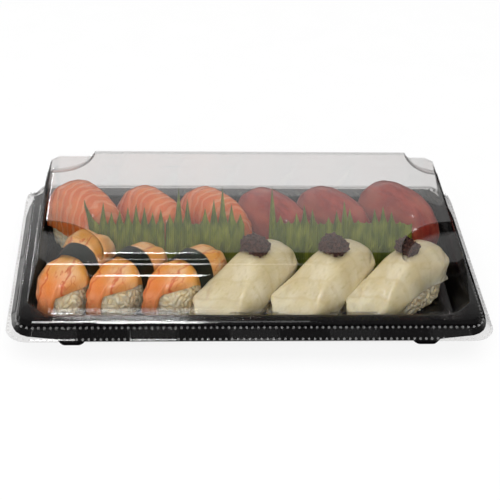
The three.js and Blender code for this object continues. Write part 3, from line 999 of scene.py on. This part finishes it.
def spread_places(piece, spacing, random, tries=6000):
    """Random places on a mesh, none nearer to another than the spacing, with their normals."""
    mesh = piece.data
    mesh.calc_loop_triangles()
    points = points_of(piece)
    corners = np.array([t.vertices for t in mesh.loop_triangles])
    a, b, c = (points[corners[:, i]] for i in range(3))
    cross = np.cross(b - a, c - a)
    areas = np.linalg.norm(cross, axis=1)
    chosen = random.choice(len(areas), tries, p=areas / areas.sum())
    u, v = np.sqrt(random.random(tries)), random.random(tries)
    places = a[chosen] * (1 - u)[:, None] + b[chosen] * (u * (1 - v))[:, None] \
        + c[chosen] * (u * v)[:, None]
    normals = cross[chosen] / areas[chosen][:, None]
    kept = np.zeros(0, int)
    for i in range(tries):
        if len(kept) == 0 or (np.sum((places[kept] - places[i]) ** 2, 1) > spacing ** 2).all():
            kept = np.append(kept, i)
    return places[kept], normals[kept]


def lie_flat(normals, random, tilt):
    """Turns that lay each copy flat on a surface, pointing any way along it."""
    turns = []
    for normal in normals:
        up = normal + random.normal(0, tilt, 3)
        up /= np.linalg.norm(up)
        along = np.cross(up, random.normal(0, 1, 3))
        along /= np.linalg.norm(along)
        turns.append(np.array([along, np.cross(up, along), up]).T)
    return turns


def rice_block(number):
    random = np.random.default_rng(100 + number)
    core = rounded_copy(f"rice_{number:02d}", f"rice_block_{number:02d}", 1)
    apply(core, "SMOOTH", iterations=8, factor=0.5)
    apply(core, "SUBSURF", levels=1, render_levels=1)
    if number in SLUMPED:
        middle, axes = loaf_frame(number)
        set_points(core, slump((points_of(core) - middle) @ axes.T) @ axes + middle)
    places, normals = spread_places(core, GRAIN_SPACING, random)
    swell(core, np.full(len(core.data.vertices), -0.35 * MM))
    sizes = random.uniform(0.86, 1.08, (len(places), 1, 1))
    turns = lie_flat(normals, random, 0.22)
    grains = copies("grains", grain, places - normals * GRAIN_SINK, turns, sizes)
    block = join([core, grains], core.name)
    shade_all_smooth(block)
    hand_in(block, "rice", f"rice_{number:02d}")
    return len(places)


grain_counts = [rice_block(number) for number in range(1, 13)]
bpy.data.objects.remove(grain)
print("grains a block:", grain_counts)

# %% [markdown]
# ### Fish and shrimp
#
# The slices are soft and wet: every edge is round, and the surface is never quite even. Each
# is a rounded copy of its CAD solid, given slow swells and shallow grooves where the real one
# has them. Shrimp and white fish also settle. A shrimp is broad over the rice, tapers to its
# tail and leaves the rice bare on its right. The white fish leans forward, broadens at its
# foot and hangs down to the tray's floor. The finishes are drawn in the piece's own frame.


# %% Slow swells
def waves(places, size, random, count=5):
    """A smooth random height over places, between about -1 and 1, with waves of one size."""
    total = np.zeros(len(places))
    for _ in range(count):
        way = random.normal(0, 1, 3)
        way *= 2 * math.pi / size / np.linalg.norm(way)
        total += np.sin(places @ way + random.uniform(0, 2 * math.pi))
    return total / math.sqrt(count)


def groove(distance, width):
    """1 in the middle of a groove, 0 beyond its width."""
    return np.clip(1 - np.abs(distance) / width, 0, 1) ** 2


# %% Salmon finish
FAT_PITCH = 1150.0                 # how close the fat lines are, in radians a metre
FAT_CURVE = 26000.0                # and how much they bend

salmon = Finish("salmon")
place = salmon.local_place()
along, across, _ = salmon.axes(place)
wander = salmon.noise(place, 90.0, 2.0)
line_phase = along * FAT_PITCH + across * across * FAT_CURVE + wander * 12.0
fat = line_phase.sine().step(0.3, 1.0)
flesh = salmon.mix(wander.step(0.3, 0.7), colour("d6662a"), colour("e07e42"))
FINISHES["salmon"] = salmon.close(
    base_color=salmon.mix(fat * 0.27, flesh, colour("efc09a")),
    roughness=0.26 + fat * 0.1,
    subsurface_weight=0.3,
    subsurface_radius=(0.006, 0.002, 0.001),
    subsurface_scale=0.6,
    coat_weight=0.3,
    coat_roughness=0.15,
    normal=salmon.bump(fat * -1.0 + salmon.noise(place, 900.0) * 0.4, 0.15 * MM, 0.6),
)

# %% Tuna finish
tuna = Finish("tuna")
place = tuna.local_place((1, 2.2, 1))
fibre = tuna.noise(place, 170.0, 4.0, 0.6)
cloud = tuna.noise(place, 55.0, 1.0)
tuna_red = tuna.mix(fibre.step(0.3, 0.72), colour("842019"), colour("a63c2c"))
FINISHES["tuna"] = tuna.close(
    base_color=tuna.mix(cloud.step(0.35, 0.7) * 0.5, tuna_red, colour("b8644c")),
    roughness=0.24 + fibre * 0.14,
    subsurface_weight=0.2,
    subsurface_radius=(0.005, 0.001, 0.001),
    subsurface_scale=0.6,
    coat_weight=0.3,
    coat_roughness=0.15,
    normal=tuna.bump(fibre, 0.2 * MM, 0.5),
)

# %% White fish finish
white = Finish("white_fish")
place = white.local_place()
along, across, _ = white.axes(place)
cloud = white.noise(place, 60.0, 2.0)
line = (along * 700.0 + across * 300.0 + cloud * 6.0).sine().step(0.7, 1.0)
fibre = white.noise(white.local_place((0.5, 2.2, 1)), 420.0, 3.0)
bead = white.noise(place, 1100.0, 2.0)
white_flesh = white.mix(cloud.step(0.3, 0.7), colour("d8c9a0"), colour("e8dec0"))
white_flesh = white.mix(fibre.step(0.5, 0.75) * 0.45, white_flesh, colour("bfae7c"))
FINISHES["fish"] = white.close(
    base_color=white.mix(line * 0.3, white_flesh, colour("cbb98a")),
    roughness=0.3 + cloud * 0.12,
    subsurface_weight=0.35,
    subsurface_radius=(0.005, 0.004, 0.002),
    subsurface_scale=0.7,
    coat_weight=0.3,
    coat_roughness=0.2,
    normal=white.bump(cloud * 0.4 + fibre * 0.3 + bead * 0.25, 0.5 * MM, 0.5),
)

# %% Shrimp finish
shrimp = Finish("boiled_shrimp")
place = shrimp.local_place()
along, across, _ = shrimp.axes(place)
wander = shrimp.noise(place, 120.0, 3.0)
patch = shrimp.noise(place, 70.0, 2.0)
strand = shrimp.noise(shrimp.local_place((0.45, 1.5, 0.8)), 150.0, 2.0)
vein = 1 - (strand - 0.5).absolute().step(0.004, 0.022)
few = shrimp.noise(place, 60.0, 1.0).step(0.4, 0.55)
long_line = (across * 620.0 + wander * 5.0 + 1.2).sine().step(0.93, 1.0)
vein = vein.math("MAXIMUM", vein * few, long_line * 0.9)
front = 1 - along.step(-0.026, -0.006)
ground = shrimp.mix(patch.step(0.35, 0.62), colour("eca650"), colour("f5c692"))
ground = shrimp.mix(wander.step(0.56, 0.7) * 0.5, ground, colour("f0dcc4"))
ground = shrimp.mix(front * 0.7, ground, colour("ea7c44"))
FINISHES["shrimp"] = shrimp.close(
    base_color=shrimp.mix(vein * 0.75, ground, colour("c8481e")),
    roughness=0.3 + wander * 0.1,
    subsurface_weight=0.3,
    subsurface_radius=(0.005, 0.002, 0.001),
    subsurface_scale=0.6,
    coat_weight=0.3,
    coat_roughness=0.18,
    normal=shrimp.bump(wander * 0.6 - vein * 0.3, 0.25 * MM, 0.5),
)

# %% How shrimp and white fish settle
TAIL_START, TAIL_LENGTH = 2 * MM, 20 * MM
TAIL_TAPER = 0.75
HEM_ALONG, HEM_HEIGHT = (0, 4, 22), (3, 13, 9)  # height of a shrimp's right edge, in millimetres
FISH_HALF = (29 * MM, 14 * MM)
FISH_LEAN = 9 * MM
FISH_HANG = 4 * MM
FISH_BARE = 0.4                    # how much narrower the last one is, over its rice


def boxier(along, across, half_along, half_across):
    """How far to move outward so that a rounded plan gets squarer corners."""
    u, v = np.abs(along / half_along) + 1e-6, np.abs(across / half_across) + 1e-6
    return (u ** 4 + v ** 4) ** (1 / 4) / (u ** 12 + v ** 12) ** (1 / 12)


def settle_shrimp(index, local):
    """Broad over the rice, with a tapered tail and a right edge that leaves the rice bare."""
    along, across, up = local.T
    settled = local.copy()
    right, left = (across < 0), (across > 0)
    front = 1 - rise(along, -10 * MM, -2 * MM)
    taper = np.clip((-TAIL_START - along) / TAIL_LENGTH, 0, 1)
    shoulder = 0.3 * rise(up, 4 * MM, 16 * MM)
    wide = front * (0.08 * left + shoulder)
    wide += right * (0.2 * (1 - taper) * front - TAIL_TAPER * taper)
    back = (index == 1) * rise(along, 4 * MM, 14 * MM)
    settled[:, 1] *= 1 + wide + 0.25 * back
    settled[:, 0] += 5 * MM * (index == 1) * rise(along, 6 * MM, 22 * MM)
    settled[:, 2] += 3 * MM * back * rise(up, 0, 8 * MM)
    hem = np.interp(-along / MM, HEM_ALONG, HEM_HEIGHT) * MM
    lift = np.where(up < hem, (hem - up) * 0.85, 0)
    settled[:, 2] += lift * front * rise(-across, 1 * MM, 6 * MM)
    return settled


def settle_fish(index, local):
    """Square at its front, broad at its foot, leaning forward and down to the floor."""
    along, across, up = local.T
    settled = local.copy()
    right, left = (across < 0), (across > 0)
    near = 1 - rise(along, -5 * MM, 15 * MM)
    square = boxier(along, across, *FISH_HALF) - 1
    settled[:, :2] *= 1 + (square * near)[:, None]
    front = 1 - rise(along, -26 * MM, 10 * MM)
    low = 1 - rise(up, 2 * MM, 18 * MM)
    bare = FISH_BARE * (index == 3) * np.clip((12 * MM - along) / (34 * MM), 0, 1)
    settled[:, 1] *= 1 + front * (0.08 * right + 0.12 * left + 0.12 * low) - bare * right
    settled[:, 0] -= FISH_LEAN * front * (0.25 + 0.75 * low)
    edge = np.clip((5 * MM - up) / (6 * MM), 0, 1) * (1 - rise(along, -10 * MM, 12 * MM))
    settled = slump(settled)
    settled[:, 2] -= edge * FISH_HANG
    return settled


# %% Slices
KINDS = {"shrimp": (1, 2, 3), "fish": (4, 5, 6), "salmon": (7, 8, 9), "tuna": (10, 11, 12)}
SETTLE = {"shrimp": settle_shrimp, "fish": settle_fish}


def slice_swell(kind, local, random):
    """How far each point of a slice moves outward, in metres."""
    along, across = local[:, 0], local[:, 1]
    swells = waves(local, 22 * MM, random) * 0.25 * MM
    if kind == "shrimp":
        return swells - 0.35 * MM * groove(across + 2 * MM, 1.2 * MM)
    if kind == "salmon":
        return swells - 0.12 * MM * np.sin(along * FAT_PITCH + across ** 2 * FAT_CURVE)
    return swells + waves(local, 9 * MM, random) * 0.08 * MM


def make_slice(kind, index, number):
    node = f"{kind}_{index}"
    piece = rounded_copy(node, f"{kind}_slice_{index}", 2)
    random = np.random.default_rng(200 + number)
    middle, axes = loaf_frame(number)
    local = (points_of(piece) - middle) @ axes.T
    if kind in SETTLE:
        local = SETTLE[kind](index, local)
    set_points(piece, local @ axes + middle)
    swell(piece, slice_swell(kind, local, random))
    store_local(piece, number)
    shade_all_smooth(piece)
    hand_in(piece, kind, node)
    return piece


slices = [
    make_slice(kind, index, number)
    for kind, numbers in KINDS.items() for index, number in enumerate(numbers, start=1)
]
shown_only_by([wet_lamp], "wet_pieces", slices)

# %% [markdown]
# ### Seaweed bands, paste and leaf
#
# The bands are crinkled sheets of pressed seaweed. The paste is a coarse heap, so crumbs of
# several sizes are scattered over it. The leaf is a thin ribbed sheet. Its gaps are made
# deeper and the sides of its blades hollow, so that each blade ends in a fine point, and the
# first blade curls outward, as the edge of a cut leaf does.

# %% Seaweed, paste and leaf finishes
nori = Finish("seaweed")
place = nori.object_place()
crinkle = nori.noise(place, 700.0, 5.0, 0.7)
FINISHES["nori"] = nori.close(
    base_color=nori.mix(crinkle.step(0.35, 0.7), colour("0c0f0c"), colour("1c241a")),
    roughness=0.38 + crinkle * 0.3,
    normal=nori.bump(crinkle, 0.3 * MM, 0.8),
)

paste = Finish("dark_paste")
place = paste.object_place()
speck = paste.noise(place, 600.0, 3.0)
FINISHES["paste"] = paste.close(
    base_color=paste.mix(speck.step(0.3, 0.7), colour("2a1512"), colour("5a3a30")),
    roughness=0.35 + speck * 0.3,
    normal=paste.bump(speck, 0.4 * MM, 0.7),
)

leaf = Finish("cut_leaf")
place = leaf.object_place()
x_place = leaf.axes(place)[0]
rib = (x_place * (2 * math.pi / 0.0011)).sine() * 0.5 + 0.5
tint = leaf.noise(leaf.object_place((1, 1, 0.12)), 260.0, 1.0)
green = leaf.mix(tint.step(0.3, 0.7), colour("5c6a1a"), colour("88902c"))
FINISHES["leaf"] = leaf.close(
    base_color=leaf.mix(rib * 0.3, green, colour("2e4a10")),
    roughness=0.35 + rib * 0.15,
    normal=leaf.bump(rib, 0.12 * MM, 0.7),
)

# %% Seaweed bands
for index, number in enumerate(KINDS["shrimp"], start=1):
    band = rounded_copy(f"nori_band_{index}", f"seaweed_band_{index}", 1)
    random = np.random.default_rng(300 + index)
    swell(band, waves(points_of(band), 5 * MM, random) * 0.06 * MM)
    shade_all_smooth(band)
    hand_in(band, "nori", f"nori_band_{index}")

# %% Paste dabs
bpy.ops.object.select_all(action="DESELECT")
bpy.ops.mesh.primitive_ico_sphere_add(subdivisions=1, radius=0.7 * MM)
crumb = bpy.context.object


def paste_dab(index):
    random = np.random.default_rng(400 + index)
    dab = rounded_copy(f"paste_dab_{index}", f"dab_of_paste_{index}", 1)
    swell(dab, waves(points_of(dab), 3 * MM, random) * 0.3 * MM)
    places, normals = spread_places(dab, 1.3 * MM, random, 900)
    sizes = random.uniform(0.6, 1.5, (len(places), 1, 1))
    turns = lie_flat(normals, random, 1.0)
    crumbs = copies("crumbs", crumb, places, turns, sizes)
    dab = join([dab, crumbs], dab.name)
    smooth(dab, 50)
    hand_in(dab, "paste", f"paste_dab_{index}")


for index in (1, 2, 3):
    paste_dab(index)
bpy.data.objects.remove(crumb)

# %% Leaves
BLADES = {1: 9, 2: 9, 3: 10, 4: 8}
GAP_DEPTH = 1.1                    # how far down a gap reaches, as a share of the solid's
GAP_FOOT = 0.74 * 36.6 * MM        # where the solid's gaps end above the strip's foot
BLADE_WAIST = 0.12                 # how much narrower a blade is halfway up
TALLEST = 40 * MM
LEAF_WAVE = 0.5 * MM
CURL = 6 * MM


def shape_blades(points, blades):
    """Makes the gaps deeper and each blade's sides hollow, so that it ends in a fine point."""
    foot = points[:, 2].min()
    left, right = points[:, 0].min(), points[:, 0].max()
    step = (right - left) / blades
    blade = np.clip(((points[:, 0] - left) / step).astype(int), 0, blades - 1)
    middle = left + (blade + 0.5) * step
    side = np.abs(points[:, 0] - middle) / (step / 2)
    height = points[:, 2] - foot
    share = np.clip((height - GAP_FOOT * 0.6) / (GAP_FOOT * 0.8), 0, 1)
    points[:, 0] = middle + (points[:, 0] - middle) * (1 - BLADE_WAIST * np.sin(share * math.pi))
    deeper = (GAP_DEPTH - 1) * side ** 2 * (height > GAP_FOOT * 0.4)
    points[:, 2] = foot + height * (1 + deeper)
    return blade, share


for index, blades in BLADES.items():
    strip = copy_of(f"leaf_{index}", f"leaf_strip_{index}")
    edit(strip, selected=True)
    bpy.ops.mesh.tris_convert_to_quads()
    bpy.ops.mesh.subdivide(number_cuts=3)
    leave()
    random = np.random.default_rng(500 + index)
    points = points_of(strip)
    blade, share = shape_blades(points, blades)
    height = (points[:, 2] - points[:, 2].min()) / TALLEST
    points[:, 1] += LEAF_WAVE * waves(points * [1, 0, 0.4], 14 * MM, random) * height ** 2
    if index == 1:
        points[:, 0] -= CURL * (blade == 0) * share ** 2
    set_points(strip, points)
    smooth(strip, 30)
    hand_in(strip, "leaf", f"leaf_{index}")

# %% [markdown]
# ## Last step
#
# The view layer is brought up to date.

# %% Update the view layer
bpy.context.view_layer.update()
